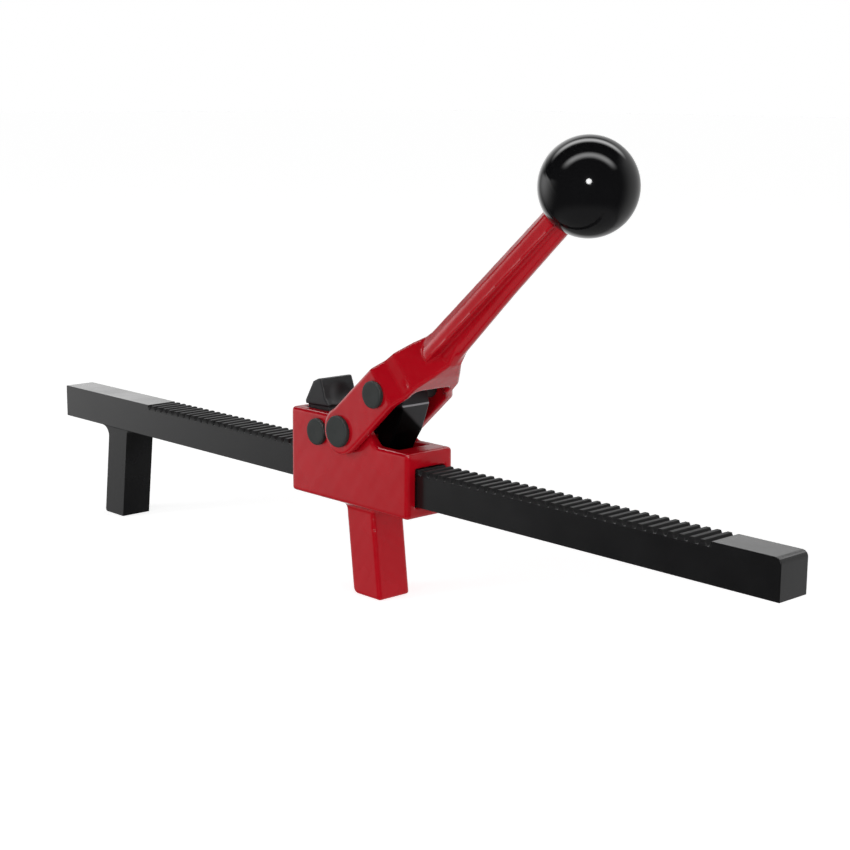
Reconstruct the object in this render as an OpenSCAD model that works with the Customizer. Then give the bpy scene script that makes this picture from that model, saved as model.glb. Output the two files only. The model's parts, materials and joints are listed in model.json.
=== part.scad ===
// Ratcheting rack-bar spreader. A hand lever pushes a sliding jaw along a toothed square bar,
// so that the two splayed legs move apart; a second pawl holds what has been gained.
// X runs along the bar, Z is up, and the origin is on the ground under the middle of the bar.

/* [Rack bar] */
// Side of the square bar
bar_side = 20; // [18:0.5:22]
// Length of the bar
bar_length = 568; // [520:2:600]
// Height of the bar's centre line above the feet
bar_height = 67; // [60:1:80]
// Distance from one tooth groove to the next
tooth_pitch = 6; // [5:0.5:6]
// Number of tooth grooves
groove_count = 73; // [60:1:74]
// Left end of the bar to the middle of the first groove
first_groove = 97; // [92:1:100]
// Width of a groove at the top face
groove_mouth = 3.6; // [3:0.1:4]
// Width of a groove at its floor
groove_floor = 0.9; // [0.6:0.1:1.2]
// Depth of a groove
groove_depth = 2.8; // [2:0.1:3]
// Radius on the right end's top edge
bar_end_radius = 3; // [1:0.5:4]

/* [Fixed leg] */
// Left end of the bar to the middle of the leg where it joins the bar
fixed_leg_x = 60.5; // [55:0.5:66]
// Angle by which each leg leans outward
leg_lean = 7; // [4:0.5:9]

/* [Slider housing] */
// Left end of the bar to the housing's left face
housing_x = 244.4; // [238:0.2:250]
// Length of the housing along the bar
housing_length = 95.8; // [92:0.2:100]
// Width of the housing across the bar
housing_width = 32.4; // [31:0.2:33]
// Thickness of the wall under the bar
floor_wall = 6.1; // [5:0.1:8]
// Height of the low shoulder above the bar's centre line
shoulder_height = 18.8; // [17:0.1:20]
// Height of the two high cheeks above the bar's centre line
cheek_height = 31.3; // [30:0.1:33]
// Length of the high cheeks' flat top
cheek_length = 57.8; // [54:0.1:60]
// Thickness of the wall that closes the left end
end_wall = 6; // [4:0.5:6]
// Gap between the bar and the housing, on each side
bar_gap = 0.3; // [0.2:0.05:0.4]
// Left side of the leg under the housing, from the housing's left face
slider_leg_x = 40.4; // [36:0.2:46]
// Side of the square leg under the housing
slider_leg_side = 22; // [20:0.5:24]

/* [Pivots] */
// Holding pawl's pivot, from the housing's left face
holding_pivot_x = 23.7; // [22:0.1:25]
// Holding pawl's pivot above the bar's centre line
holding_pivot_z = 20.4; // [20:0.1:21]
// Lever's pivot, from the housing's left face
lever_pivot_x = 48.5; // [47:0.1:50]
// Lever's pivot above the bar's centre line
lever_pivot_z = 25; // [24.5:0.1:25.5]
// Lever's pivot to the drive pawl's pivot
pawl_arm = 36.6; // [36:0.1:37]
// Radius of the holding pawl's pin
holding_pin_r = 4; // [3.5:0.1:4.5]
// Radius of the lever's pin
lever_pin_r = 5; // [4.5:0.1:5.5]
// Radius of the drive pawl's pin
drive_pin_r = 4.5; // [4:0.1:5]
// Radial clearance of every pin in its holes
pin_gap = 0.06; // [0.03:0.01:0.1]
// Thickness of a pin's head
head_thickness = 2.4; // [2:0.1:2.6]

/* [Pawls] */
// Width of both pawls across the bar
pawl_width = 19.5; // [18:0.1:19.8]

/* [Lever] */
// Angle of the lever above the bar
lever_angle = 41.65; // [40:0.05:43]
// Width over the fork's two cheeks
fork_width = 44.6; // [44:0.2:45]
// Gap between the fork's cheeks
fork_gap = 34.2; // [34:0.1:34.6]
// Height of a cheek, from edge to edge
cheek_depth = 25; // [24:0.5:26]
// Lever's pivot to the end of the arm
arm_end = 181; // [170:1:186]
// Width of the arm where it leaves the fork
arm_root_width = 22.4; // [20:0.2:23]
// Width of the arm at the ball
arm_tip_width = 17.2; // [16.6:0.2:18]
// Width of the rounded rib under the arm
rib_width = 10; // [9:0.2:11]

/* [Ball knob] */
// Diameter of the ball
ball_diameter = 48; // [46:1:50]
// Radius of the stud that carries the ball
stud_r = 3; // [2.5:0.5:3]

/* [Hidden] */

half_bar = bar_side / 2;
half_pawl = pawl_width / 2;
half_housing = housing_width / 2;
half_cavity = half_bar + bar_gap;
half_fork = fork_width / 2;
half_fork_gap = fork_gap / 2;
ball_r = ball_diameter / 2;
round_steps = 96;
fine_steps = 48;

housing_floor_z = -half_cavity - floor_wall;
housing_right = housing_x + housing_length;
cheek_right = housing_x + cheek_length;
slot_right = housing_right - 13;
shoulder_fillet = 5.5;

holding_pivot = [housing_x + holding_pivot_x, 0, holding_pivot_z];
lever_pivot = [housing_x + lever_pivot_x, 0, lever_pivot_z];
drive_angle = lever_angle - 1.5;
drive_pivot = lever_pivot + pawl_arm * [cos(drive_angle), 0, sin(drive_angle)];
drive_pivot_in_lever = pawl_arm * [cos(1.5), 0, -sin(1.5)];

red = [0.66, 0.05, 0.08];
black = [0.07, 0.07, 0.075];
dark_steel = [0.14, 0.15, 0.15];
steel = [0.55, 0.56, 0.58];
brass = [0.75, 0.58, 0.25];

// Places the bar's own axes, which start at its left end on its centre line, in the part's frame.
module on_bar() {
    translate([-bar_length / 2, 0, bar_height]) children();
}

// Places the lever's own axes: x along the lever from its pivot, z across it, upward.
module on_lever() {
    on_bar() translate(lever_pivot) rotate([0, -lever_angle, 0]) children();
}

// Extrudes a side view, drawn in X and Z, from y0 to y1.
module side_view(y0, y1) {
    translate([0, y1, 0]) rotate([90, 0, 0]) linear_extrude(y1 - y0) children();
}

// Extrudes an end view, drawn in Y and Z, from x0 to x1.
module end_view(x0, x1) {
    translate([x0, 0, 0]) rotate([90, 0, 90]) linear_extrude(x1 - x0) children();
}

// A round bar or ring along Y, from y0 to y1.
module ring_y(outer_r, inner_r, y0, y1) {
    side_view(y0, y1) difference() {
        circle(outer_r, $fn = round_steps);
        if (inner_r > 0) circle(inner_r, $fn = round_steps);
    }
}

// The hollow left when a pin of radius r passes right through.
module pin_bore(r) {
    ring_y(r + pin_gap, 0, -half_fork - 5, half_fork + 5);
}

function arc(centre, r, from, to, steps) =
    [for (i = [0 : steps]) centre + r * [cos(from + (to - from) * i / steps), sin(from + (to - from) * i / steps)]];

// ---------------------------------------------------------------- rack bar and fixed leg

function groove(i) = let (x = first_groove + i * tooth_pitch) [
    [x - groove_mouth / 2, half_bar],
    [x - groove_floor / 2, half_bar - groove_depth],
    [x + groove_floor / 2, half_bar - groove_depth],
    [x + groove_mouth / 2, half_bar]
];

module rack_bar() {
    end_corner = [bar_length - bar_end_radius, half_bar - bar_end_radius];
    outline = concat(
        [[0, -half_bar], [0, half_bar]],
        [for (i = [0 : groove_count - 1]) each groove(i)],
        arc(end_corner, bar_end_radius, 90, 0, 6),
        [[bar_length, -half_bar]]
    );
    color(black) on_bar() side_view(-half_bar, half_bar) polygon(outline);
}

// Middle of the arc that blends a leaning leg's side (side = -1 left, 1 right) into the face above it.
function web_centre(x, z, r, lean, side) = [x + side * r * (1 + side * sin(lean)) / cos(lean), z - r];

// Side view of a leg that leaves a flat face at z = top and leans by lean degrees toward +X.
// web holds the blend radii at its left and right, toe the radius of its foot's left corner.
function leg_outline(left, width, top, lean, web, toe) =
    let (foot = left + (top + bar_height) * tan(lean), toe_x = foot + toe * (1 - sin(lean)) / cos(lean))
    concat(
        arc(web_centre(left, top, web[0], lean, -1), web[0], 90, lean, 8),
        arc([toe_x, toe - bar_height], toe, 180 + lean, 270, 6),
        [[foot + width, -bar_height]],
        arc(web_centre(left + width, top, web[1], lean, 1), web[1], 180 + lean, 90, 6)
    );

module fixed_leg() {
    color(black) on_bar() side_view(-half_bar, half_bar)
        polygon(leg_outline(fixed_leg_x - half_bar, bar_side, -half_bar, -leg_lean, [6.5, 2.5], 1.6));
}

// ---------------------------------------------------------------- slider housing

module housing_outline() {
    slope_end = cheek_right + cheek_height - shoulder_height;
    blend = shoulder_fillet * tan(22.5);
    corner = 1.5;
    polygon(concat(
        [[housing_x, housing_floor_z], [housing_x, cheek_height - corner], [housing_x + corner, cheek_height]],
        [[cheek_right, cheek_height]],
        arc([slope_end + blend, shoulder_height + shoulder_fillet], shoulder_fillet, 225, 270, 6),
        [[housing_right - corner, shoulder_height], [housing_right, shoulder_height - corner]],
        [[housing_right, housing_floor_z]]
    ));
}

module slider_leg() {
    half = slider_leg_side / 2;
    left = housing_x + slider_leg_x;
    side_view(-half, half)
        polygon(leg_outline(left, slider_leg_side, housing_floor_z, leg_lean, [5, 4], 3.6));
}

module slider_housing() {
    color(red) on_bar() difference() {
        union() {
            side_view(-half_housing, half_housing) housing_outline();
            slider_leg();
        }
        // passage for the bar
        translate([housing_x - 1, -half_cavity, -half_cavity])
            cube([housing_length + 2, 2 * half_cavity, 2 * half_cavity]);
        // open pocket for the two pawls
        translate([housing_x + end_wall, -half_cavity, 0])
            cube([slot_right - housing_x - end_wall, 2 * half_cavity, cheek_height + 1]);
        translate(holding_pivot) pin_bore(holding_pin_r);
        translate(lever_pivot) pin_bore(lever_pin_r);
    }
}

// ---------------------------------------------------------------- pins, washers and clips

clip_thickness = 0.8;
clip_depth = 0.6;
washer_thickness = 1;
stack_gap = 0.1;

// Where the washer, the clip and the pin's end stand, for a pin that leaves a face at y = face.
function clip_y(face) = face + stack_gap + washer_thickness + stack_gap;

// A headed pin along Y. Its head lies on the front face and a clip groove is cut behind the back face.
module headed_pin(r, head_r, face) {
    edge = 0.5;
    tail = clip_y(face) + clip_thickness + 0.5;
    front = face + stack_gap;
    slack = 0.05;
    g0 = clip_y(face) - slack;
    g1 = clip_y(face) + clip_thickness + slack;
    rotate([-90, 0, 0]) rotate_extrude($fn = round_steps) polygon([
        [0, -front - head_thickness], [head_r - edge, -front - head_thickness],
        [head_r, -front - head_thickness + edge], [head_r, -front],
        [r, -front], [r, g0], [r - clip_depth, g0], [r - clip_depth, g1],
        [r, g1], [r, tail - edge], [r - edge, tail], [0, tail]
    ]);
}

module pin_washer(r, face) {
    ring_y(r + 3.4, r + 0.15, face + stack_gap, face + stack_gap + washer_thickness);
}

// An E-clip: an open ring with three prongs in the pin's groove.
module e_clip(r, face) {
    y0 = clip_y(face);
    seat = r - clip_depth + 0.05;
    side_view(y0, y0 + clip_thickness) difference() {
        circle(r + 2.4, $fn = fine_steps);
        circle(seat, $fn = fine_steps);
        translate([-seat * 0.86, -2 * r - 3]) square([seat * 1.72, 2 * r + 3]);
        for (turn = [45, 135]) rotate(turn) translate([0, -0.9]) square([r + 0.9, 1.8]);
    }
}

module holding_pawl_pin() { color(dark_steel) on_bar() translate(holding_pivot) headed_pin(holding_pin_r, 7.3, half_housing); }
module holding_pawl_washer() { color(steel) on_bar() translate(holding_pivot) pin_washer(holding_pin_r, half_housing); }
module holding_pawl_clip() { color(steel) on_bar() translate(holding_pivot) e_clip(holding_pin_r, half_housing); }

module lever_pivot_pin() { color(dark_steel) on_bar() translate(lever_pivot) headed_pin(lever_pin_r, 8.5, half_fork); }
module lever_pivot_washer() { color(steel) on_bar() translate(lever_pivot) pin_washer(lever_pin_r, half_fork); }
module lever_pivot_clip() { color(steel) on_bar() translate(lever_pivot) e_clip(lever_pin_r, half_fork); }

module drive_pawl_pin() { color(dark_steel) on_bar() translate(drive_pivot) headed_pin(drive_pin_r, 7.2, half_fork); }
module drive_pawl_washer() { color(steel) on_bar() translate(drive_pivot) pin_washer(drive_pin_r, half_fork); }
module drive_pawl_clip() { color(steel) on_bar() translate(drive_pivot) e_clip(drive_pin_r, half_fork); }

// Two thin washers keep the fork's cheeks off the housing's cheeks.
module lever_thrust_washers() {
    color(steel) on_bar() translate(lever_pivot) for (side = [0, 1]) mirror([0, side, 0])
        ring_y(9, lever_pin_r + 0.15, half_housing + stack_gap, half_fork_gap - stack_gap);
}

// Two bushes on the drive pawl's pin keep the pawl in the middle of the fork.
module drive_pawl_spacers() {
    color(steel) on_bar() translate(drive_pivot) for (side = [0, 1]) mirror([0, side, 0])
        ring_y(6, drive_pin_r + pin_gap, half_pawl + 0.2, half_fork_gap - 0.2);
}

// ---------------------------------------------------------------- springs

// A torsion spring wound round an axis along Y. It starts at y and winds toward -Y.
// first and second are the directions of its two legs in the side view.
module torsion_spring(r, wire, y, first, second, half_turns, first_length, second_length) {
    pitch = wire * 1.12;
    tilt = asin(pitch / 4 / r);
    last = (second - first - 180 - 180 * half_turns) % 360;
    sweep = last < 0 ? last + 360 : last;
    translate([0, y, 0]) rotate([90, 0, 0]) rotate([0, 0, first + 90]) {
        translate([0, 0, -pitch / 4]) rotate([0, tilt, 0]) translate([r, 0, 0]) rotate([90, 0, 0])
            cylinder(h = first_length, r = wire / 2, $fn = 24);
        for (i = [0 : half_turns]) {
            turn = i < half_turns ? 180 : sweep;
            translate([0, 0, (2 * i - 1) * pitch / 4]) rotate([0, 0, 180 * i]) rotate([0, tilt, 0]) {
                rotate_extrude(angle = turn, $fn = round_steps) translate([r, 0]) circle(wire / 2, $fn = 24);
                if (i == half_turns) rotate([0, 0, turn]) translate([r, 0, 0]) rotate([-90, 0, 0])
                    cylinder(h = second_length, r = wire / 2, $fn = 24);
            }
        }
    }
}

module holding_pawl_spring() {
    color(steel) on_bar() translate(holding_pivot)
        torsion_spring(5.2, 1.2, half_cavity - 1.6, -10, 70, 3, 12, 8);
}

module drive_pawl_spring() {
    color(steel) on_bar() translate(drive_pivot)
        torsion_spring(7.6, 1.5, -half_pawl - 1.9, lever_angle, 255, 4, 14, 13);
}

// ---------------------------------------------------------------- pawls

// The holding pawl: a nose that stands in a groove, a hub, and a wider thumb tab above the cheeks.
module holding_pawl() {
    hub_r = 8.5;
    scoop_r = 12;
    half_tab = 11.2;
    spring_room = 5.2;
    nose_x = -8.9;
    nose_z = half_bar - 1.4 - holding_pivot_z;
    color(black) on_bar() translate(holding_pivot) difference() {
        union() {
            side_view(-half_pawl, half_pawl) union() {
                circle(hub_r, $fn = round_steps);
                polygon([
                    [nose_x - 0.5, nose_z], [nose_x + 0.4, nose_z], [nose_x + 1.3, nose_z + 2],
                    [0, -hub_r], [hub_r, 0], [3, 8], [1.5, 12], [-0.6, 16], [-15, 16],
                    [-16.6, 11.6], [-13.2, 0], [nose_x - 1.6, nose_z + 2]
                ]);
            }
            side_view(-half_tab, half_tab) polygon([
                [3.2, 13.3], [0, 17.2], [-2.2, 24.2], [-3.9, 28], [-6.4, 27.8], [-10, 26.2],
                [-11, 25.3], [-17.3, 14.6], [-17, 12.6]
            ]);
        }
        pin_bore(holding_pin_r);
        // finger scoop in the tab's right face
        translate([9.3, 0, 22]) sphere(scoop_r, $fn = round_steps);
        // room for the spring beside the hub
        ring_y(hub_r + 0.2, 0, half_pawl - spring_room + 0.5, half_pawl + 1);
    }
}

// The drive pawl: it hangs in the fork and its nose pushes on the rack's teeth.
module drive_pawl() {
    hub_r = 9.4;
    nose_z = -36.8;
    color(black) on_bar() translate(drive_pivot) difference() {
        side_view(-half_pawl, half_pawl) polygon(concat(
            arc([0, 0], hub_r, 60, 190, 26),
            [[-12.2, -33], [-8.6, nose_z], [-7.5, nose_z], [-4.5, -32.5], [2.6, -21.9], [8.1, -7.2]]
        ));
        pin_bore(drive_pin_r);
    }
}

// ---------------------------------------------------------------- lever and knob

half_depth = cheek_depth / 2;
half_rib = rib_width / 2;
arm_top = 6.5;
flange_bottom = -4.6;
neck_x = 68;
rib_root = [70, -7.4];
rib_tip = [arm_end, -3.3];

// The fork seen from the side, in the lever's own axes.
fork_side = [
    [0, half_depth - 0.6], [43, 11.2], [58, 10.3], [65, 9.8], [77, 7.2], [80, 6.9],
    [80, -12], [76, -12.4], [66, -13], [0, -half_depth - 0.5]
];

// Half of the fork seen from above. Its last slope runs in under the arm to the rib.
fork_half_plan = [
    [-half_depth - 2, half_fork], [43.5, half_fork], [51, 17.4], [58.5, 16.2],
    [76.5, half_rib], [81, half_rib]
];

// The arm's flat upper part, from the side and from above.
arm_side = [
    [neck_x, 9.15], [77, 7.2], [86, arm_top], [arm_end, arm_top],
    [arm_end, flange_bottom], [neck_x, flange_bottom]
];
arm_half_plan = [[neck_x, arm_root_width / 2], [arm_end, arm_tip_width / 2]];

// Half of the fork's slot seen from above.
slot_half_plan = [[-half_depth - 3, half_fork_gap], [43, half_fork_gap], [49, 12.7], [54.3, 12.7]];

// A plan that is the same on both sides of the lever's middle, cut right through from below to above.
module plan_block(half) {
    other = [for (i = [len(half) - 1 : -1 : 0]) [half[i][0], -half[i][1]]];
    translate([0, 0, -fork_gap / 2]) linear_extrude(fork_gap) polygon(concat(half, other));
}

// The arm: a flat upper part with a long slope on each upper edge, and a half-round rib below it.
module lever_arm() {
    edge_drop = 5;
    edge_run = 3.5;
    taper = atan((arm_root_width - arm_tip_width) / 2 / (arm_end - neck_x));
    rib_rise = atan((rib_tip[1] - rib_root[1]) / (rib_tip[0] - rib_root[0]));
    difference() {
        intersection() {
            side_view(-half_fork, half_fork) polygon(arm_side);
            plan_block(arm_half_plan);
        }
        for (side = [0, 1]) mirror([0, side, 0])
            translate([neck_x, arm_root_width / 2, arm_top]) rotate([0, 0, -taper])
                end_view(-2, arm_end) polygon([
                    [-edge_run, 0], [-edge_run, half_depth], [edge_run, half_depth], [edge_run, -2 * edge_drop]
                ]);
    }
    intersection() {
        translate([rib_root[0], 0, rib_root[1]]) rotate([0, -rib_rise, 0]) {
            rotate([0, 90, 0]) cylinder(h = arm_end, r = half_rib, $fn = round_steps);
            translate([0, -half_rib, 0]) cube([arm_end, rib_width, 5]);
        }
        side_view(-half_fork, half_fork)
            polygon([[rib_root[0], -14], [rib_root[0], 0], [arm_end, 0], [arm_end, -14]]);
    }
}

module lever() {
    color(red) on_lever() difference() {
        union() {
            intersection() {
                union() {
                    side_view(-half_fork, half_fork) polygon(fork_side);
                    ring_y(half_depth + 0.2, 0, -half_fork, half_fork);
                }
                plan_block(fork_half_plan);
            }
            lever_arm();
        }
        plan_block(slot_half_plan);
        pin_bore(lever_pin_r);
        translate(drive_pivot_in_lever) pin_bore(drive_pin_r);
        // threaded hole for the knob's stud
        translate([arm_end - 16, 0, stud_z]) rotate([0, 90, 0])
            cylinder(h = 20, r = stud_r + 0.05, $fn = fine_steps);
    }
}

stud_z = 0;
knob_flat = 22.6;
arm_gap = 0.2;
ball_x = arm_end + arm_gap + knob_flat;
insert_r = 6.5;
insert_length = 20;

module knob_stud() {
    thread_end = 0.6;
    color(steel) on_lever() translate([arm_end - 15, 0, stud_z]) rotate([0, 90, 0])
        rotate_extrude($fn = fine_steps) polygon([
            [0, 0], [stud_r - thread_end, 0], [stud_r, thread_end], [stud_r, 32 - thread_end],
            [stud_r - thread_end, 32], [0, 32]
        ]);
}

module knob_insert() {
    start = arm_end + 2 * arm_gap;
    color(brass) on_lever() translate([start, 0, stud_z]) rotate([0, 90, 0]) difference() {
        cylinder(h = insert_length, r = insert_r, $fn = fine_steps);
        translate([0, 0, -1]) cylinder(h = insert_length - 1, r = stud_r + 0.05, $fn = fine_steps);
    }
}

module ball_knob() {
    color(black) on_lever() translate([ball_x, 0, stud_z]) rotate([0, 90, 0]) difference() {
        sphere(ball_r, $fn = 128);
        translate([0, 0, -knob_flat - ball_r]) cylinder(h = ball_r, r = ball_r, $fn = fine_steps);
        translate([0, 0, -knob_flat - 1]) cylinder(h = insert_length + 1.4, r = insert_r + 0.05, $fn = fine_steps);
    }
}

rack_bar();
fixed_leg();
slider_housing();
holding_pawl_pin();
holding_pawl_washer();
holding_pawl_clip();
lever_pivot_pin();
lever_pivot_washer();
lever_pivot_clip();
lever_thrust_washers();
holding_pawl();
holding_pawl_spring();
lever();
drive_pawl_pin();
drive_pawl_washer();
drive_pawl_clip();
drive_pawl_spacers();
drive_pawl_spring();
knob_stud();
knob_insert();
ball_knob();
drive_pawl();
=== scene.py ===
import json
import math

import bpy
import numpy as np
from mathutils import Matrix, Vector


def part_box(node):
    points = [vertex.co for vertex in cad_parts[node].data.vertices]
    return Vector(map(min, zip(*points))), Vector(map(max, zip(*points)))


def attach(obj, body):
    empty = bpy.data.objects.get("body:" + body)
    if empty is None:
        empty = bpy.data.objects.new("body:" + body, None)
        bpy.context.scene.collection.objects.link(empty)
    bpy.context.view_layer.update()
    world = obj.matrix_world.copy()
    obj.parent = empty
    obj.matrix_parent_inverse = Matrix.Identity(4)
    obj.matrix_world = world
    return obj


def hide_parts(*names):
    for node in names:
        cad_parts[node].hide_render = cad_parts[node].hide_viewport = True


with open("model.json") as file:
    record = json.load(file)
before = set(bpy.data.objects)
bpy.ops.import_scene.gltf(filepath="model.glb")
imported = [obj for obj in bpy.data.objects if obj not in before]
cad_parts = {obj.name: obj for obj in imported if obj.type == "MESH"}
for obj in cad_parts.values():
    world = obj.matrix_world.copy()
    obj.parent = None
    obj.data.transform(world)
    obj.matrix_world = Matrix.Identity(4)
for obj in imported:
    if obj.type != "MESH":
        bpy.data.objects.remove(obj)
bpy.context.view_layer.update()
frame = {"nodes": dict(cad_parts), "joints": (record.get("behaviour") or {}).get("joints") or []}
NODES = frame["nodes"]
JOINTS = {j["name"]: j for j in frame["joints"]}
MM = 0.001

# ------------------------------------------------------------------ the part's own measures, in mm
# The bar's axes: x from its left end, y from its middle plane, z from its middle line.
BAR_LOW, BAR_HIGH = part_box("rack_bar")
BAR = 1000 * np.array([BAR_LOW.x, 0.0, (BAR_LOW.z + BAR_HIGH.z) / 2])
LEVER_ANGLE = math.radians(41.65)
PIN_PLAY = 0.06

HOLDING_PIN_R, LEVER_PIN_R, DRIVE_PIN_R = 4.0, 5.0, 4.5
HALF_HOUSING, HALF_CAVITY = 16.2, 10.3
FORK_OUTSIDE, FORK_INSIDE = 22.4, 17.1
ARM_END = 181.0
HALF_PAWL, HALF_TAB = 9.75, 11.25
BALL_X, BALL_R, KNOB_FLAT = 203.8, 24.0, 22.6

CASTING_STEP, PAWL_STEP = 0.55, 0.42
WANDER = 0.03


def joint_place(name):
    return 1000 * np.array(JOINTS[name]["pos_m"]) - BAR


LEVER_PIVOT = joint_place("lever_swing")
DRIVE_PIVOT = joint_place("push_pawl_swing")
HOLD_PIVOT = joint_place("thumb_pawl_lift")


# ------------------------------------------------------------------ solid shapes as distance fields
def rmax(a, b, r):
    """Intersection of two fields whose shared edge has radius r."""
    return np.minimum(-r, np.maximum(a, b)) + np.sqrt(np.maximum(r + a, 0) ** 2 + np.maximum(r + b, 0) ** 2)


def rmin(a, b, r):
    """Union of two fields whose shared corner has radius r."""
    return -rmax(-a, -b, r)


def cut(a, b, r):
    """a less b, with radius r on the edge that the cut leaves."""
    return rmax(a, -b, r)


def rod(u, v, r):
    return np.sqrt(u ** 2 + v ** 2) - r


def ball(x, y, z, r):
    return np.sqrt(x ** 2 + y ** 2 + z ** 2) - r


def arc(r, start, end, step=10):
    """Corners without a radius, every step degrees round the origin."""
    angles = [math.radians(a) for a in range(start, end + 1, step)]
    return [(r * math.cos(a), r * math.sin(a), 0) for a in angles]


def rounded(points, steps=6):
    """A closed outline of (u, v, radius) corners, with every corner replaced by its arc."""
    out = []
    n = len(points)
    for i, (u, v, r) in enumerate(points):
        p = np.array([u, v], float)
        a = np.array(points[i - 1][:2], float) - p
        b = np.array(points[(i + 1) % n][:2], float) - p
        a /= np.linalg.norm(a)
        b /= np.linalg.norm(b)
        half = math.acos(max(-1, min(1, float(a @ b)))) / 2
        if r <= 0 or half > math.radians(89):
            out.append(p)
            continue
        centre = p + (a + b) / np.linalg.norm(a + b) * r / math.sin(half)
        s = p + a * r / math.tan(half) - centre
        e = p + b * r / math.tan(half) - centre
        turn = math.atan2(s[0] * e[1] - s[1] * e[0], s @ e)
        for k in range(steps + 1):
            t = turn * k / steps
            out.append(centre + [s[0] * math.cos(t) - s[1] * math.sin(t), s[0] * math.sin(t) + s[1] * math.cos(t)])
    return np.array(out)


def outline_field(u, v, points):
    """Signed distance from the points (u, v) to a closed outline, negative inside."""
    best = np.full(np.broadcast(u, v).shape, 1e9)
    inside = np.zeros(best.shape, bool)
    for a, b in zip(points, np.roll(points, -1, axis=0)):
        e = b - a
        length = e @ e
        if length < 1e-12:
            continue
        t = np.clip(((u - a[0]) * e[0] + (v - a[1]) * e[1]) / length, 0, 1)
        best = np.minimum(best, (u - a[0] - t * e[0]) ** 2 + (v - a[1] - t * e[1]) ** 2)
        crosses = (a[1] > v) != (b[1] > v)
        side = e[0] * (v - a[1]) / (e[1] if abs(e[1]) > 1e-12 else 1e-12) + a[0]
        inside ^= crosses & (u < side)
    return np.where(inside, -1, 1) * np.sqrt(best)


def lumps(x, y, z, size):
    """A smooth wandering between -1 and 1, for castings and forgings that aren't quite true."""
    k = 2 * math.pi / size
    broad = np.sin(k * x + 1.3) * np.sin(0.8 * k * y + 0.4) * np.sin(1.1 * k * z + 2.1)
    narrow = np.sin(2.1 * k * x + 0.7 * k * z + 0.2) * np.sin(1.7 * k * y + 1.9 * k * z + 1.1)
    return (broad + 0.5 * narrow) / 1.5


def net(field, low, high, step):
    """The field's zero surface as a quad mesh: one vertex in each grid cell that the surface crosses."""
    axes = [np.arange(low[i], high[i] + step, step) for i in range(3)]
    values = field(axes[0][:, None, None], axes[1][None, :, None], axes[2][None, None, :])
    inside = values < 0
    shape = np.array(values.shape)
    total = np.zeros(shape - 1, np.int8)
    for dx in (0, 1):
        for dy in (0, 1):
            for dz in (0, 1):
                total += inside[dx:shape[0] - 1 + dx, dy:shape[1] - 1 + dy, dz:shape[2] - 1 + dz]
    active = (total > 0) & (total < 8)
    cells = np.argwhere(active)
    number = np.full(active.shape, -1, np.int64)
    number[active] = np.arange(len(cells))
    # each vertex is the mean of the places where its cell's edges are crossed
    point, count = np.zeros((len(cells), 3)), np.zeros(len(cells))
    for a in range(3):
        unit = np.eye(3, dtype=int)[a]
        for i in (0, 1):
            for j in (0, 1):
                shift = np.zeros(3, int)
                shift[(a + 1) % 3], shift[(a + 2) % 3] = i, j
                p = cells + shift
                v0 = values[tuple(p.T)]
                v1 = values[tuple((p + unit).T)]
                hit = (v0 < 0) != (v1 < 0)
                t = v0[hit] / (v0[hit] - v1[hit])
                point[hit] += p[hit] + t[:, None] * unit
                count[hit] += 1
    vertices = np.array(low) + step * point / count[:, None]
    # each crossed grid edge joins the four cells around it
    faces = []
    for a in range(3):
        b, c = (a + 1) % 3, (a + 2) % 3
        first = np.take(inside, range(shape[a] - 1), axis=a)
        last = np.take(inside, range(1, shape[a]), axis=a)
        edges = np.argwhere(first != last)
        ok = (edges[:, b] > 0) & (edges[:, c] > 0) & (edges[:, b] < shape[b] - 1) & (edges[:, c] < shape[c] - 1)
        edges = edges[ok]
        quad = []
        for db, dc in ((-1, -1), (0, -1), (0, 0), (-1, 0)):
            q = edges.copy()
            q[:, b] += db
            q[:, c] += dc
            quad.append(number[tuple(q.T)])
        quad = np.stack(quad, axis=1)
        outward = first[tuple(edges.T)]
        faces.append(np.where(outward[:, None], quad, quad[:, ::-1]))
    return vertices, np.concatenate(faces)


# ------------------------------------------------------------------ meshes
def new_mesh(name, vertices, faces, smooth=True):
    """vertices in metres, in the part's frame."""
    mesh = bpy.data.meshes.new(name)
    mesh.from_pydata([tuple(v) for v in vertices], [], [tuple(int(i) for i in f) for f in faces])
    mesh.update()
    mesh.polygons.foreach_set("use_smooth", [smooth] * len(mesh.polygons))
    piece = bpy.data.objects.new(name, mesh)
    bpy.context.scene.collection.objects.link(piece)
    return piece


def on_bar(points):
    return (np.asarray(points) + BAR) * MM


def on_lever(points):
    """From the lever's own axes: x along it from its pivot, z across it, upward."""
    p = np.asarray(points, float)
    c, s = math.cos(LEVER_ANGLE), math.sin(LEVER_ANGLE)
    turned = np.stack([p[:, 0] * c - p[:, 2] * s, p[:, 1], p[:, 0] * s + p[:, 2] * c], axis=1)
    return on_bar(turned + LEVER_PIVOT)


def finish_piece(piece, body, material, node):
    piece.data.materials.clear()
    piece.data.materials.append(material)
    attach(piece, body)
    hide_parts(node)


def lathe(name, profile, segments, place):
    """A solid of revolution: (height, radius) points from one end of its axis to the other, both at radius 0."""
    middle = profile[1:-1]
    n = len(middle)
    vertices = [(0, 0, profile[0][0]), (0, 0, profile[-1][0])]
    for i in range(segments):
        t = 2 * math.pi * i / segments
        vertices += [(r * math.cos(t), r * math.sin(t), h) for h, r in middle]
    faces = []
    for i in range(segments):
        a, b = 2 + i * n, 2 + (i + 1) % segments * n
        faces.append((0, b, a))
        faces.append((1, a + n - 1, b + n - 1))
        faces += [(a + k, b + k, b + k + 1, a + k + 1) for k in range(n - 1)]
    piece = new_mesh(name, place(np.array(vertices)), faces)
    sharp = piece.modifiers.new("sharp", "EDGE_SPLIT")
    sharp.split_angle = math.radians(35)
    return piece


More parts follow.
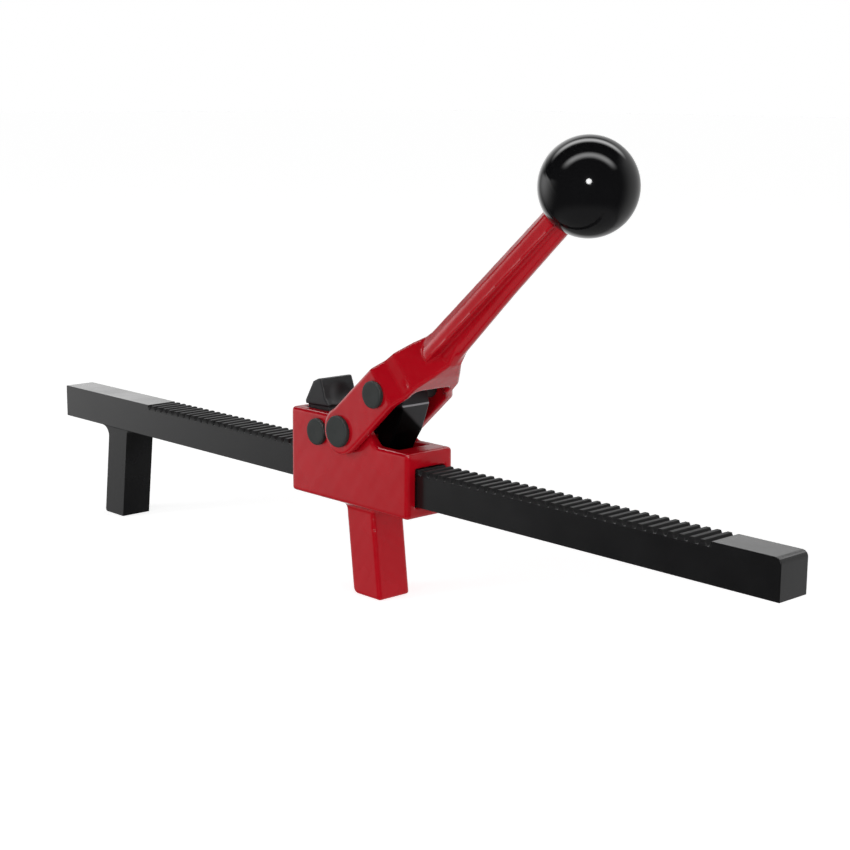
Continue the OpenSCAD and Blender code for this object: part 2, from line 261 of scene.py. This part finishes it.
# ------------------------------------------------------------------ materials
class Graph:
    """A node tree, with one short call for each kind of node used here."""

    def __init__(self, tree):
        self.nodes, self.links = tree.nodes, tree.links

    def put(self, value, socket):
        """Links an output to a socket, or sets the socket's own value."""
        if hasattr(value, "is_linked"):
            self.links.new(value, socket)
        elif hasattr(value, "__len__") and len(value) == 3 and socket.type == "RGBA":
            socket.default_value = (*value, 1)
        else:
            socket.default_value = value

    def maths(self, operation, a, b):
        node = self.nodes.new("ShaderNodeMath")
        node.operation = operation
        self.put(a, node.inputs[0])
        self.put(b, node.inputs[1])
        return node.outputs["Value"]

    def fade(self, source, start, end, low=0.0, high=1.0, shape="SMOOTHSTEP"):
        """low before start and high after end."""
        node = self.nodes.new("ShaderNodeMapRange")
        node.interpolation_type = shape
        node.inputs["From Min"].default_value, node.inputs["From Max"].default_value = start, end
        node.inputs["To Min"].default_value, node.inputs["To Max"].default_value = low, high
        self.links.new(source, node.inputs["Value"])
        return node.outputs["Result"]

    def dot(self, vector, direction):
        node = self.nodes.new("ShaderNodeVectorMath")
        node.operation = "DOT_PRODUCT"
        node.inputs[1].default_value = direction
        self.links.new(vector, node.inputs[0])
        return node.outputs["Value"]

    def split(self, vector):
        node = self.nodes.new("ShaderNodeSeparateXYZ")
        self.links.new(vector, node.inputs["Vector"])
        return node.outputs

    def mix(self, factor, a, b, kind="RGBA"):
        node = self.nodes.new("ShaderNodeMix")
        node.data_type = kind
        sockets = {s.identifier: s for s in node.inputs}
        ending = "Color" if kind == "RGBA" else "Float"
        self.put(factor, sockets["Factor_Float"])
        self.put(a, sockets["A_" + ending])
        self.put(b, sockets["B_" + ending])
        return next(s for s in node.outputs if s.identifier == "Result_" + ending)


class Paint(Graph):
    """A material with its shader and the object coordinates of what it is on."""

    def __init__(self, name, colour, roughness, metallic=0.0):
        self.material = bpy.data.materials.new(name)
        self.material.use_nodes = True
        super().__init__(self.material.node_tree)
        self.shader = self.nodes["Principled BSDF"]
        self.coordinates = self.nodes.new("ShaderNodeTexCoord").outputs
        self.set("Base Color", colour)
        self.set("Roughness", roughness)
        self.set("Metallic", metallic)

    def set(self, name, value):
        self.put(value, self.shader.inputs[name])

    def source(self, name):
        """What already feeds one of the shader's sockets."""
        return self.shader.inputs[name].links[0].from_socket

    def noise(self, scale, detail=3.0, rough=0.55):
        node = self.nodes.new("ShaderNodeTexNoise")
        node.inputs["Scale"].default_value = scale
        node.inputs["Detail"].default_value = detail
        node.inputs["Roughness"].default_value = rough
        self.links.new(self.coordinates["Object"], node.inputs["Vector"])
        return node.outputs["Fac"]

    def ramp(self, source, low, high, start, end):
        """Maps source from start to end onto grey levels from low to high."""
        node = self.nodes.new("ShaderNodeValToRGB")
        for stop, place, level in zip(node.color_ramp.elements, (start, end), (low, high)):
            stop.position = place
            stop.color = (level, level, level, 1)
        self.links.new(source, node.inputs["Fac"])
        return node.outputs["Color"]

    def bump(self, *layers):
        """layers: (height, strength, distance in metres), each over the one before."""
        last = None
        for height, strength, distance in layers:
            node = self.nodes.new("ShaderNodeBump")
            node.inputs["Strength"].default_value = strength
            node.inputs["Distance"].default_value = distance
            self.links.new(height, node.inputs["Height"])
            if last is not None:
                self.links.new(last, node.inputs["Normal"])
            last = node.outputs["Normal"]
        self.set("Normal", last)


def red_enamel():
    """Thick glossy enamel with a little orange peel."""
    p = Paint("red_enamel", (0.42, 0.006, 0.014), 0.3)
    broad = p.noise(28, 3)
    fine = p.noise(900, 2)
    peel = p.noise(420, 2, 0.4)
    p.set("Base Color", p.mix(p.ramp(broad, 0.0, 1.0, 0.35, 0.68), (0.40, 0.001, 0.007), (0.45, 0.002, 0.010)))
    p.set("Roughness", p.ramp(broad, 0.22, 0.31, 0.3, 0.7))
    p.set("Specular IOR Level", 0.05)
    # upper faces have lost most of their gloss to dust and hands
    upward = p.split(p.coordinates["Normal"])["Z"]
    p.set("Coat Weight", p.fade(upward, 0.75, 0.97, 1.0, 0.12, "LINEAR"))
    p.set("Coat Roughness", p.ramp(peel, 0.10, 0.17, 0.3, 0.7))
    p.bump((peel, 0.25, 0.0001), (fine, 0.1, 0.00004))
    return p.material


def black_coat(name, colour, low, high, grain):
    """A thin black coat on steel, with roughness from low to high over a fine grain."""
    p = Paint(name, colour, low)
    broad = p.noise(35, 4)
    fine = p.noise(grain, 3)
    dark = tuple(c * 0.7 for c in colour)
    light = tuple(c * 1.35 for c in colour)
    p.set("Base Color", p.mix(broad, dark, light))
    p.set("Roughness", p.ramp(broad, low, high, 0.3, 0.7))
    p.bump((fine, 0.25, 0.00006))
    return p


def bar_coat():
    """Black oxide on ground steel: smooth on the faces and the plain ends, dull where the teeth were cut."""
    p = black_coat("bar_black", (0.008, 0.008, 0.0085), 0.15, 0.25, 520)
    place = p.split(p.coordinates["Object"])
    teeth_start, teeth_end, teeth_roof = 94.6, 531.4, 9.0
    (first, _, _), (last, _, roof) = on_bar([(teeth_start, 0, 0), (teeth_end, 0, teeth_roof)])
    edge, depth = 0.4 * MM, 2.5 * MM
    after = p.fade(place["X"], first, first + edge, shape="LINEAR")
    before = p.fade(place["X"], last, last - edge, shape="LINEAR")
    above = p.fade(place["Z"], roof - depth, roof, shape="LINEAR")
    teeth = p.maths("MULTIPLY", p.maths("MULTIPLY", after, before), above)
    p.set("Roughness", p.mix(teeth, p.source("Roughness"), 0.55, "FLOAT"))
    p.set("Specular IOR Level", p.fade(teeth, 0, 1, 0.5, 0.22, "LINEAR"))
    return p.material


def leg_coat():
    p = black_coat("leg_black", (0.006, 0.006, 0.0065), 0.2, 0.3, 520)
    p.set("Specular IOR Level", 0.36)
    return p.material


def push_pawl_coat():
    """Black coat, with a painted highlight as a bright line on the long edge and painted shade, near black, on its
    lower near side.
    """
    p = black_coat("push_pawl_coat", (0.016, 0.016, 0.018), 0.34, 0.46, 620)
    from_pivot = p.nodes.new("ShaderNodeVectorMath")
    from_pivot.operation = "SUBTRACT"
    from_pivot.inputs[1].default_value = tuple(on_bar([DRIVE_PIVOT])[0])
    p.links.new(p.coordinates["Object"], from_pivot.inputs[0])

    def past(direction, offset, start, end):
        """0 to 1 from start to end, in mm beyond a plane that lies offset from the pivot."""
        far = p.maths("SUBTRACT", p.dot(from_pivot.outputs["Vector"], direction), offset * MM)
        return p.fade(far, start * MM, end * MM)

    # painted shade on the lower near side: its rim runs from the near end of the edge down to the far side of the
    # nose
    painted_shade = past((0, 0.60, 0.80), -11.9, 1.2, -0.8)
    # a painted highlight: a pale grey line along the long edge above the nose
    painted_highlight = p.maths("MULTIPLY", past((0.97, 0, 0.22), 6.02, 0.0, 0.2), past((0, 0, 1), -6.6, 0.3, 0.0))
    painted_shade_colour = p.mix(painted_shade, p.source("Base Color"), (0.001, 0.001, 0.001))
    p.set("Base Color", p.mix(painted_highlight, painted_shade_colour, (0.25, 0.25, 0.26)))
    # no gloss where the shade is painted, so that patch stays black
    p.set("Specular IOR Level", p.fade(painted_shade, 0, 1, 0.5, 0.03, "LINEAR"))
    return p.material


def bare_metal(name, colour, roughness):
    p = Paint(name, colour, roughness, 1.0)
    fine = p.noise(700, 3)
    broad = p.noise(90, 3)
    dark = tuple(c * 0.75 for c in colour)
    p.set("Base Color", p.mix(broad, dark, colour))
    p.set("Roughness", p.ramp(fine, roughness * 0.8, roughness * 1.3, 0.3, 0.7))
    p.bump((fine, 0.3, 0.00004))
    return p.material


def gloss_black():
    """The knob's polished moulding."""
    p = Paint("knob_black", (0.006, 0.006, 0.0065), 0.07)
    p.set("Specular IOR Level", 0.25)
    fine = p.noise(160, 4)
    p.set("Roughness", p.ramp(fine, 0.05, 0.10, 0.35, 0.7))
    p.bump((fine, 0.05, 0.00003))
    return p.material


RED = red_enamel()
BAR_BLACK = bar_coat()
LEG_BLACK = leg_coat()
PAWL_BLACK = black_coat("pawl_black", (0.016, 0.016, 0.018), 0.38, 0.5, 620).material
PUSH_BLACK = push_pawl_coat()
PIN_DARK = black_coat("pin_dark", (0.022, 0.026, 0.025), 0.5, 0.62, 800).material
PLAIN_STEEL = bare_metal("plain_steel", (0.42, 0.43, 0.45), 0.32)
BRASS = bare_metal("insert_brass", (0.66, 0.47, 0.20), 0.28)
KNOB_BLACK = gloss_black()


# ------------------------------------------------------------------ slider housing
def housing_field(x, y, z):
    left, right, floor, cheek_top, shoulder = 244.4, 340.2, -16.4, 31.3, 18.8
    side = rounded([(left, floor, 2.2), (left, cheek_top, 2.2), (302.2, cheek_top, 3), (314.7, shoulder, 5.5),
                    (right, shoulder, 2.2), (right, floor, 2.2)])
    block = rmax(outline_field(x, z, side), np.abs(y) - HALF_HOUSING, 2.2)
    leg_left, leg_right, half_leg, foot = 284.8, 306.8, 11.0, -67.0
    lean = math.tan(math.radians(7.0))
    drift = (floor - foot) * lean
    leg_side = rounded([(leg_left, floor + 4, 0), (leg_left, floor, 0), (leg_left + drift, foot, 3.6),
                        (leg_right + drift, foot, 1.4), (leg_right, floor, 0), (leg_right, floor + 4, 0)])
    leg = rmax(outline_field(x, z, leg_side), np.abs(y) - half_leg, 1.6)
    body = rmin(block, leg, 4.0) - WANDER * lumps(x, y, z, 17)
    tunnel = np.maximum(np.abs(y) - HALF_CAVITY, np.abs(z) - HALF_CAVITY)
    body = cut(body, tunnel, 0.9)
    pocket = np.maximum(np.maximum(250.4 - x, x - 327.2), np.maximum(np.abs(y) - HALF_CAVITY, -z))
    body = cut(body, pocket, 1.1)
    # chips along the leg's near corner
    for chip, size in ((-21.5, 0.9), (-25.8, 0.7), (-27.6, 1.1), (-31.2, 0.6), (-47.0, 0.5)):
        corner = leg_right - 0.2 + (floor - chip) * lean
        long_way = math.sqrt(0.5) * (z - chip)
        body = cut(body, ball(x - corner, y + half_leg - 0.1, long_way, size), 0.15)
    for pivot, r in ((HOLD_PIVOT, HOLDING_PIN_R), (LEVER_PIVOT, LEVER_PIN_R)):
        body = cut(body, rod(x - pivot[0], z - pivot[2], r + PIN_PLAY), 0.4)
    return body


vertices, faces = net(housing_field, (242.4, -18.2, -69.0), (342.2, 18.2, 33.4), CASTING_STEP)
housing = new_mesh("housing_casting", on_bar(vertices), faces)
finish_piece(housing, "slider", RED, "slider_housing")


# ------------------------------------------------------------------ lever
def fork_field(x, ay, z):
    """The two cheeks and the web that joins them, from one outline seen from the side and one from above."""
    bottom, web = -13, 90
    side = rounded([(0, 12.0, 0), (43, 11.2, 9), (57, 10.4, 6), (67, 9.4, 5), (80, 6.5, 8), (web, 6.5, 0),
                    (web, -8.2, 0), (80, -11.4, 3), (76, -12.6, 3), (66, bottom, 3.5), (0, bottom, 0)])
    plan = rounded([(-16, FORK_OUTSIDE, 0), (43.2, FORK_OUTSIDE, 3.5), (50.2, 17.4, 3), (57.2, 16.5, 3.5),
                    (76.2, 4.9, 2), (web, 4.9, 0), (web, -1, 0), (-16, -1, 0)])
    profile = np.minimum(outline_field(x, z, side), rod(x, z, 12.7))
    return rmax(profile, outline_field(x, ay, plan), 1.3)


def arm_field(x, ay, z, half):
    """A flat upper part with sloping upper edges and, below it, a half-round rib."""
    roof, edge_run = 6.5, 3.5
    top = roof + 2.4 * np.clip((80 - x) / 12, 0, 1)
    tongue = rmax(68.6 - x, ay - half, 2.4)
    drop = roof - np.interp(x, [66, 72, ARM_END], [-2.2, 0.6, 2.5])
    slope = (drop * (ay - half) + edge_run * (z - roof + drop)) / np.sqrt(drop ** 2 + edge_run ** 2)
    flange = rmax(rmax(slope, z - top, 0.8), tongue, 0.9)
    flange = rmax(rmax(flange, -4.6 - z, 0.7), x - ARM_END, 1.0)
    rib_z = np.interp(x, [70, 80, 130, 168, ARM_END], [-7.4, -6.9, -4.6, -3.7, -3.4])
    rib = rod(ay, np.minimum(z - rib_z, 0), 4.95)
    rib = rmax(rmax(rib, z, 0.5), np.maximum(73 - x, x - ARM_END), 1.0)
    return rmin(flange, rib, 0.7)


def lever_field(x, y, z):
    ay = np.abs(y)
    half_arm = np.interp(x, [69, ARM_END], [11.3, 8.5])
    body = rmin(fork_field(x, ay, z), arm_field(x, ay, z, half_arm), 0.9)
    slot = rounded([(-20, FORK_INSIDE, 0), (43, FORK_INSIDE, 3), (49, 12.7, 3), (54.3, 12.7, 3.5),
                    (54.3, -1, 0), (-20, -1, 0)])
    body = cut(body, outline_field(x, ay, slot), 1.2)
    # the fin left where the halves of the mould met
    fin = rod(ay - half_arm + 0.1, z + 4.3, 0.32)
    body = rmin(body, np.maximum(fin, np.maximum(76 - x, x - 176)), 0.3)
    # a small pit in the band behind the cheek
    body = cut(body, ball(x - 54.8, y + 17.5, math.sqrt(0.3) * (z + 7.4), 1.3), 0.6)
    body = body - WANDER * lumps(x, y, z, 15)
    drive_reach, drive_below = 36.6, math.radians(1.5)
    drive_x, drive_z = drive_reach * math.cos(drive_below), -drive_reach * math.sin(drive_below)
    for pivot_x, pivot_z, r in ((0, 0, LEVER_PIN_R), (drive_x, drive_z, DRIVE_PIN_R)):
        body = cut(body, rod(x - pivot_x, z - pivot_z, r + PIN_PLAY), 0.4)
    return body


vertices, faces = net(lever_field, (-15, -24.2, -15.2), (183, 24.2, 14.6), CASTING_STEP)
lever = new_mesh("lever_forging", on_lever(vertices), faces)
finish_piece(lever, "handle", RED, "lever")


# ------------------------------------------------------------------ pawls
def holding_pawl_field(x, y, z):
    """From its pin: a nose, a hub with room for the spring at one side, and a wider tab with a finger scoop."""
    hub_r = 8.5
    side = rounded([(-9.4, -11.8, 0.4), (-8.5, -11.8, 0.4), (-7.6, -9.8, 0), (0, -hub_r, 2), (hub_r, 0, 4),
                    (3, 8, 3), (1.5, 12, 2), (-0.6, 16, 0), (-15, 16, 0), (-16.6, 11.6, 2), (-13.2, 0, 3),
                    (-10.6, -9.8, 0)])
    tab = rounded([(3.2, 13.3, 0.7), (0, 17.2, 5), (-2.2, 24.2, 4), (-3.9, 28.05, 0.6), (-6.4, 27.85, 3),
                   (-10.6, 25.9, 1.6), (-17.3, 14.6, 1.2), (-17, 12.6, 0.5)])
    body = rmax(np.minimum(outline_field(x, z, side), rod(x, z, hub_r)), np.abs(y) - HALF_PAWL, 0.6)
    body = rmin(body, rmax(outline_field(x, z, tab), np.abs(y) - HALF_TAB, 0.8), 0.4)
    body = cut(body, ball(x - 9.3, y, z - 22, 12), 1.0)
    body = cut(body, np.maximum(rod(x, z, hub_r + 0.2), 5.05 - y), 0.4)
    return cut(body, rod(x, z, HOLDING_PIN_R + PIN_PLAY), 0.3)


def drive_pawl_field(x, y, z):
    """From its pin: a hub, and a long nose that reaches down to the teeth."""
    nose = [(-12.2, -33, 1.5), (-8.6, -36.8, 0.5), (-7.5, -36.8, 0.5), (-4.5, -32.5, 2), (2.6, -21.9, 4)]
    side = rounded([(8.1, -7.2, 0.8)] + arc(9.4, 60, 190) + nose)
    body = rmax(outline_field(x, z, side), np.abs(y) - HALF_PAWL, 0.7)
    return cut(body, rod(x, z, DRIVE_PIN_R + PIN_PLAY), 0.3)


vertices, faces = net(holding_pawl_field, (-19, -12.6, -14), (11, 12.6, 30), PAWL_STEP)
holding_pawl = new_mesh("holding_pawl_forging", on_bar(vertices + HOLD_PIVOT), faces)
finish_piece(holding_pawl, "thumb_pawl", PAWL_BLACK, "holding_pawl")
vertices, faces = net(drive_pawl_field, (-14, -11, -39), (11, 11, 12), PAWL_STEP)
drive_pawl = new_mesh("drive_pawl_forging", on_bar(vertices + DRIVE_PIVOT), faces)
finish_piece(drive_pawl, "push_pawl", PUSH_BLACK, "drive_pawl")


# ------------------------------------------------------------------ turned pins and the moulded knob
def turned_pin(name, body, node, pivot, r, head_r, face):
    """Along Y: a head with an eased rim and a faint dish, a clip groove, and a tail with a centre mark."""
    head, groove_width, groove_depth, dish_depth, dish_steps = 2.4, 0.85, 0.6, 0.16, 8
    front, clip, tail = face + 0.1, face + 1.2, face + 2.5
    groove = [(clip - 0.05, r, 0.1), (clip - 0.05, r - groove_depth, 0),
              (clip + groove_width, r - groove_depth, 0), (clip + groove_width, r, 0.1)]
    outline = rounded([(-front - head, 0, 0), (-front - head, head_r, 0.75), (-front, head_r, 0.25),
                       (-front, r, 0.15)] + groove + [(tail, r, 0.4), (tail, 1.1, 0.1), (tail - 0.8, 0, 0)], 4)
    rim = outline[1]
    dish = [(rim[0] + dish_depth * (1 - k / dish_steps) ** 2, rim[1] * k / dish_steps) for k in range(dish_steps)]
    profile = dish + [tuple(q) for q in outline[1:]]

    def place(v):
        return on_bar(np.stack([v[:, 0], v[:, 2], -v[:, 1]], axis=1) + pivot)

    finish_piece(lathe(name, profile, 96, place), body, PIN_DARK, node)


turned_pin("holding_pin_turned", "slider", "holding_pawl_pin", HOLD_PIVOT, HOLDING_PIN_R, 7.3, HALF_HOUSING)
turned_pin("lever_pin_turned", "slider", "lever_pivot_pin", LEVER_PIVOT, LEVER_PIN_R, 8.5, FORK_OUTSIDE - 0.1)
turned_pin("drive_pin_turned", "handle", "drive_pawl_pin", DRIVE_PIVOT, DRIVE_PIN_R, 7.2, FORK_OUTSIDE - 0.1)


def moulded_ball():
    """The ball with its bore for the insert, a moulded ring round the mouth and a ghost of the mould's seam."""
    mouth = math.sqrt(BALL_R ** 2 - KNOB_FLAT ** 2)
    bore_r, bore_depth = 6.55, 20.4
    profile = [(-KNOB_FLAT + bore_depth, 0), (-KNOB_FLAT + bore_depth, bore_r), (-KNOB_FLAT + 0.3, bore_r),
               (-KNOB_FLAT, 6.85), (-KNOB_FLAT, 7.3), (-KNOB_FLAT + 0.15, mouth - 0.25)]
    start = math.atan2(mouth, KNOB_FLAT) + math.radians(1.5)
    steps, seam_height, seam_width = 90, 0.05, 0.9
    for k in range(steps + 1):
        t = start + (math.pi - start) * k / steps
        seam = seam_height * math.exp(-((math.degrees(t) - 90) / seam_width) ** 2)
        r = BALL_R - seam_height + seam
        profile.append((-r * math.cos(t), r * math.sin(t) if k < steps else 0))

    def place(v):
        return on_lever(np.stack([v[:, 2] + BALL_X, v[:, 0], v[:, 1]], axis=1))

    finish_piece(lathe("knob_moulding", profile, 160, place), "handle", KNOB_BLACK, "ball_knob")


moulded_ball()


# ------------------------------------------------------------------ nodes that keep their CAD shape
def soften(node, width, segments=2, angle=25):
    """Rounds a CAD node's sharp edges."""
    o = NODES[node]
    weld = o.modifiers.new("weld", "WELD")
    weld.merge_threshold = 1e-6
    flat = o.modifiers.new("flat", "DECIMATE")
    flat.decimate_type = "DISSOLVE"
    flat.angle_limit = math.radians(0.4)
    bevel = o.modifiers.new("edges", "BEVEL")
    bevel.width = width * MM
    bevel.segments = segments
    bevel.limit_method = "ANGLE"
    bevel.angle_limit = math.radians(angle)
    bevel.harden_normals = True
    bevel.use_clamp_overlap = True


def give(material, *names):
    for name in names:
        for slot in NODES[name].material_slots:
            slot.material = material


give(BAR_BLACK, "rack_bar")
give(LEG_BLACK, "fixed_leg")
give(PLAIN_STEEL, "holding_pawl_washer", "lever_pivot_washer", "drive_pawl_washer", "holding_pawl_clip",
     "lever_pivot_clip", "drive_pawl_clip", "lever_thrust_washers", "holding_pawl_spring", "drive_pawl_spring",
     "knob_stud")
give(PIN_DARK, "drive_pawl_spacers")
give(BRASS, "knob_insert")
soften("rack_bar", 0.3)
soften("fixed_leg", 0.9, 3)

scene = bpy.context.scene


# ------------------------------------------------------------------ floor
def pale_floor(size):
    """Matt white paper that the camera sees almost burnt out, so that only a faint contact shadow is left."""
    s = size / 2
    below = -0.0002
    piece = new_mesh("floor", [(-s, -s, below), (s, -s, below), (s, s, below), (-s, s, below)], [(0, 1, 2, 3)], False)
    p = Paint("floor", (0.8, 0.8, 0.8), 0.7)
    p.set("Specular IOR Level", 0.0)
    rays = p.nodes.new("ShaderNodeLightPath").outputs
    seen = p.maths("MULTIPLY", rays["Is Camera Ray"], 0.73)
    bounced = p.maths("MULTIPLY", rays["Is Diffuse Ray"], 0.42)
    p.set("Emission Color", (1, 1, 1))
    p.set("Emission Strength", p.maths("ADD", seen, bounced))
    piece.data.materials.append(p.material)
    piece.visible_glossy = False


pale_floor(30)

# ------------------------------------------------------------------ light
BACKDROP, LEFT_BOX, VIEW = (-0.3, 0.954, 0.0), (-0.93, -0.34, 0.1), (0.661, -0.748, 0.055)
BACK_GLOW, LEFT_GLOW, LOW_GLOW = 1.15, 2.2, 0.3
SIDE_GLOW, RIGHT_GLOW = 0.8, 0.6
# each hoop: its place and half width along VIEW, the height of its feet, its brightness
HOOPS = [(0.285, 0.18, 0.5, 9.0), (-0.55, 0.18, 0.4, 6.0)]


def studio():
    """A white sweep as the camera sees it; dark above and in front, as the object's gloss sees it."""
    world = bpy.data.worlds.new("studio")
    scene.world = world
    world.use_nodes = True
    world.cycles.sampling_method = "NONE"
    g = Graph(world.node_tree)
    direction = g.nodes.new("ShaderNodeTexCoord").outputs["Generated"]
    height = g.split(direction)["Z"]

    # the backdrop, brighter toward its left
    band = g.maths("MULTIPLY", g.fade(height, 0.75, 0.48), g.fade(height, -0.85, -0.6))
    gloss = g.maths("MULTIPLY", g.fade(g.dot(direction, BACKDROP), 0.15, 0.75, 0, BACK_GLOW), band)
    leftward = g.fade(g.dot(direction, (-1, 0, 0)), 0.35, 0.95, 0, 0.62)
    gloss = g.maths("MULTIPLY", gloss, g.maths("ADD", leftward, 0.63))
    # a box of light low on the left, brightest in its middle
    rim = 0.6
    left = g.maths("MAXIMUM", g.maths("SUBTRACT", g.dot(direction, LEFT_BOX), rim), 0.0)
    left = g.maths("POWER", g.maths("MULTIPLY", left, 1 / (1 - rim)), 4.7)
    gloss = g.maths("MAXIMUM", gloss, g.maths("MULTIPLY", left, g.fade(height, 0.22, 0.12, 0, LEFT_GLOW)))
    gloss = g.maths("MAXIMUM", gloss, g.fade(height, -0.5, -0.8, 0, LOW_GLOW))
    # two hoops of light over the object
    across = g.dot(direction, VIEW)
    for middle, half, foot, level in HOOPS:
        hoop = g.maths("MULTIPLY", g.fade(across, middle - half, middle, 0, level),
                       g.fade(across, middle + half, middle))
        gloss = g.maths("MAXIMUM", gloss, g.maths("MULTIPLY", hoop, g.fade(height, foot, foot + 0.35)))
    # what matt surfaces get
    horizon = g.maths("MULTIPLY", g.fade(height, 1.0, 0.0, 0, SIDE_GLOW), g.fade(height, -0.05, 0.0))
    fill = g.maths("ADD", horizon, g.fade(g.dot(direction, (1, 0, 0)), 0.2, 1.0, 0, RIGHT_GLOW))

    def background(value):
        node = g.nodes.new("ShaderNodeBackground")
        g.put(value, node.inputs["Color"])
        return node.outputs["Background"]

    def choose(factor, a, b):
        node = g.nodes.new("ShaderNodeMixShader")
        for source, socket in zip((factor, a, b), node.inputs):
            g.links.new(source, socket)
        return node.outputs["Shader"]

    rays = g.nodes.new("ShaderNodeLightPath").outputs
    lit = choose(rays["Is Diffuse Ray"], background(gloss), background(fill))
    seen = choose(rays["Is Camera Ray"], lit, background((1, 1, 1)))
    g.links.new(seen, g.nodes["World Output"].inputs["Surface"])


studio()


def area_light(name, place, target, size_x, size_y, power, shape="RECTANGLE", gloss=False, diffuse=True):
    data = bpy.data.lights.new(name, "AREA")
    data.shape = shape
    data.size, data.size_y = size_x, size_y
    data.energy = power
    light = bpy.data.objects.new(name, data)
    scene.collection.objects.link(light)
    light.location = place
    light.rotation_euler = (Vector(target) - Vector(place)).to_track_quat("-Z", "Y").to_euler()
    light.visible_glossy = gloss
    light.visible_diffuse = diffuse


CAMERA = Vector((0.6934, -0.6025, 0.2717))
BALL = Vector(on_lever([(BALL_X, 0, 0)])[0])
MIDDLE = (0, 0, 0.1)


def seen_in_ball(across, upward, far):
    """The place that the ball's front mirrors to the camera at this offset, in ball radii, from its middle."""
    view = (CAMERA - BALL).normalized()
    side = Vector((-view.y, view.x, 0)).normalized()
    rise = view.cross(side)
    normal = across * side + upward * rise
    normal = normal + math.sqrt(1 - normal.length_squared) * view
    return BALL + far * (2 * view.dot(normal) * normal - view)


area_light("key_left", (-0.9, -1.9, 1.1), MIDDLE, 0.7, 1.0, 9)
area_light("front", (0.1, -2.2, 0.5), MIDDLE, 1.6, 1.0, 7)
area_light("right_low", (1.7, 0.1, 0.2), MIDDLE, 0.9, 0.3, 4)
area_light("flash", seen_in_ball(0.0, 0.1, 1.6), BALL, 0.33, 0.33, 13, "DISK", gloss=True, diffuse=False)


# ------------------------------------------------------------------ camera
def place_camera(azimuth, elevation, roll, lens):
    """Angles in degrees: azimuth and elevation of the camera as the object sees it, roll about its own axis."""
    a, e, t = math.radians(azimuth), math.radians(elevation), math.radians(roll)
    forward = Vector((-math.sin(a) * math.cos(e), math.cos(a) * math.cos(e), -math.sin(e)))
    level = Vector((math.cos(a), math.sin(a), 0))
    rise = level.cross(forward)
    right = math.cos(t) * level + math.sin(t) * rise
    up = -math.sin(t) * level + math.cos(t) * rise
    data = bpy.data.cameras.new("camera")
    camera = bpy.data.objects.new("camera", data)
    scene.collection.objects.link(camera)
    camera.matrix_world = Matrix((
        (right.x, up.x, -forward.x, CAMERA.x),
        (right.y, up.y, -forward.y, CAMERA.y),
        (right.z, up.z, -forward.z, CAMERA.z),
        (0, 0, 0, 1)))
    data.sensor_width = 36
    data.lens = lens
    return camera


scene.camera = place_camera(46.8, 11.11, 0.44, 72.725)
scene.view_settings.view_transform = "Standard"
